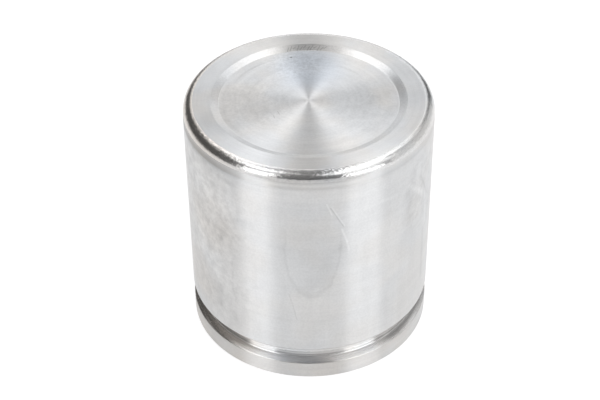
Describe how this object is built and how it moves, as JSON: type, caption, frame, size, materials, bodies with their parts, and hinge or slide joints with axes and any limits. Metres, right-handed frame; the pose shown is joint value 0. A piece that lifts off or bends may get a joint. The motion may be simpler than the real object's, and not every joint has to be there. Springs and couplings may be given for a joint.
{
  "type": "brake caliper piston",
  "caption": "Turned aluminium cup piston for a disc brake caliper: closed crown with a shallow recess, ground wall, boot groove near the open rim.",
  "frame": {"origin": "centre of the rim's end face, at the open end, where the piston stands", "axes": "+Z along the piston's axis, from the open rim to the closed crown; +X and +Y are any two square directions across it"},
  "size_m": [0.06, 0.06, 0.0635],
  "materials": {
    "turned_aluminium": "bright turned crown and groove, fine ground satin wall"
  },
  "bodies": {
    "root": {"piston": "turned_aluminium"}
  },
  "joints": []
}
